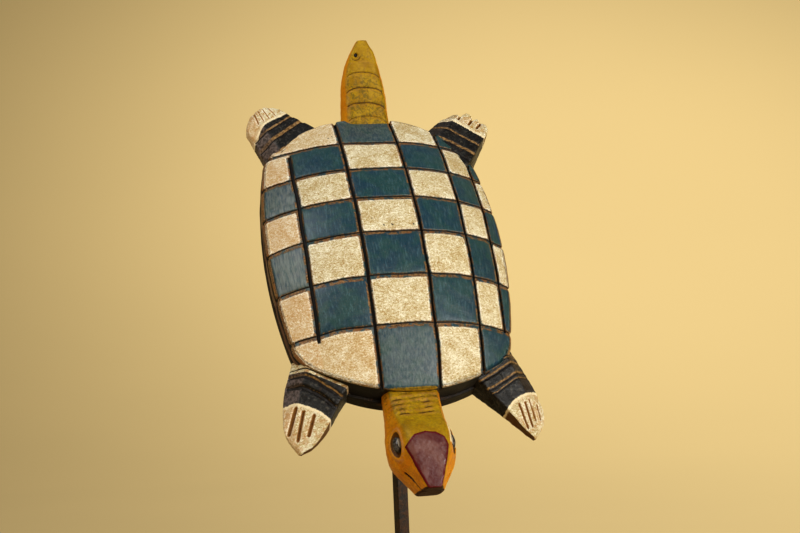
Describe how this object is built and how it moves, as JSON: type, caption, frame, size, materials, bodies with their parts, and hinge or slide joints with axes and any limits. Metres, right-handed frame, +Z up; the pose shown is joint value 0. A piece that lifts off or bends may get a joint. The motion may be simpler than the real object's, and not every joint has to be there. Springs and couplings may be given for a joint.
{
  "type": "carved wooden turtle on stand",
  "caption": "Carved, painted wooden turtle with a chequered back, set nose down on a slim square bar; it swivels on the bar's round end and lifts off it.",
  "frame": {"origin": "on the bar's axis at the underside of the base's felt", "axes": "+Z up along the bar, -Y towards the front, where the turtle's back faces and its nose points down; +X to the turtle's left side"},
  "size_m": [0.2232, 0.2423, 0.5401],
  "materials": {
    "shell_paint": "hand-painted carved wood in dark blue and cream squares, worn satin",
    "black_paint": "carved wood painted black-brown, worn satin",
    "yellow_paint": "carved wood painted yellow ochre, worn satin",
    "leg_paint": "carved wood painted black with cream feet, worn satin",
    "eye_paint": "dark glossy paint",
    "peg_wood": "bare turned wood",
    "tube_brass": "drawn tube, dull",
    "washer_brass": "flat washer, dull",
    "bar_iron": "rolled square iron bar, dark and rusted",
    "base_paint": "wood block painted satin black",
    "zinc_steel": "zinc-plated",
    "felt": "dark green felt"
  },
  "bodies": {
    "stand": {"stand_bar": "bar_iron", "base_block": "base_paint", "plate_washer": "zinc_steel", "clamp_nut": "zinc_steel", "base_felt": "felt"},
    "washer": {"thrust_washer": "washer_brass"},
    "turtle": {"carapace": "shell_paint", "belly_board": "black_paint", "head": "yellow_paint", "eye_left": "eye_paint", "eye_right": "eye_paint", "tail": "yellow_paint", "leg_front_right": "leg_paint", "leg_front_left": "leg_paint", "leg_rear_right": "leg_paint", "leg_rear_left": "leg_paint", "neck_peg": "peg_wood", "tail_peg": "peg_wood", "leg_pegs": "peg_wood", "board_dowels": "peg_wood", "socket_tube": "tube_brass"}
  },
  "joints": [
    {"name": "swivel", "type": "hinge", "parent": "stand", "child": "washer", "pos_m": [0, 0, 0.2502], "axis": [0, 0, 1], "continuous": true},
    {"name": "lift_off", "type": "slide", "parent": "washer", "child": "turtle", "axis": [0, 0, 1], "range_m": [0, 0.06]}
  ]
}
